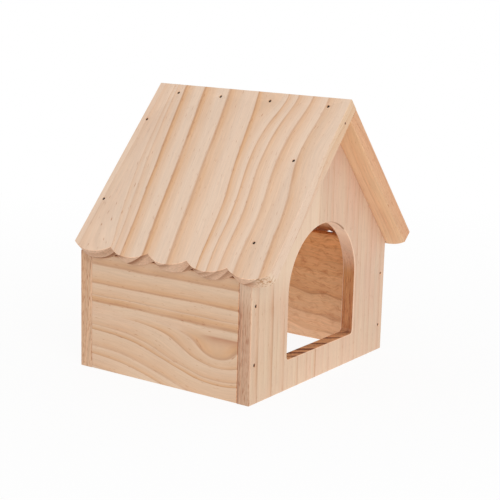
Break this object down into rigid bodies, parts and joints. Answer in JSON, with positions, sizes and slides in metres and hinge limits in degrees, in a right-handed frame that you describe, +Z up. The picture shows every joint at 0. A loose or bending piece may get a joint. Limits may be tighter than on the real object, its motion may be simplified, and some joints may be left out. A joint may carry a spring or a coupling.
{
  "type": "hamster house",
  "caption": "Small open-bottomed wooden hamster house: gabled box with an arched doorway and a pitched roof with scalloped eaves.",
  "frame": {"origin": "on the ground, under the middle of the overall box", "axes": "+Z up, -Y out of the doorway, +Y towards the back gable, +X to the right seen from the front; the ridge runs along Y"},
  "size_m": [0.135, 0.112, 0.135],
  "materials": {
    "gable_pine": "sanded, unfinished",
    "wall_pine": "sanded, unfinished",
    "roof_pine": "sanded, unfinished",
    "brad_steel": "dull"
  },
  "bodies": {
    "root": {"front_gable": "gable_pine", "back_gable": "gable_pine", "left_wall": "wall_pine", "right_wall": "wall_pine", "left_roof": "roof_pine", "right_roof": "roof_pine", "ridge_brads": "brad_steel", "left_roof_front_brads": "brad_steel", "left_roof_back_brads": "brad_steel", "right_roof_front_brads": "brad_steel", "right_roof_back_brads": "brad_steel", "front_left_brads": "brad_steel", "front_right_brads": "brad_steel", "back_left_brads": "brad_steel", "back_right_brads": "brad_steel"}
  },
  "joints": []
}
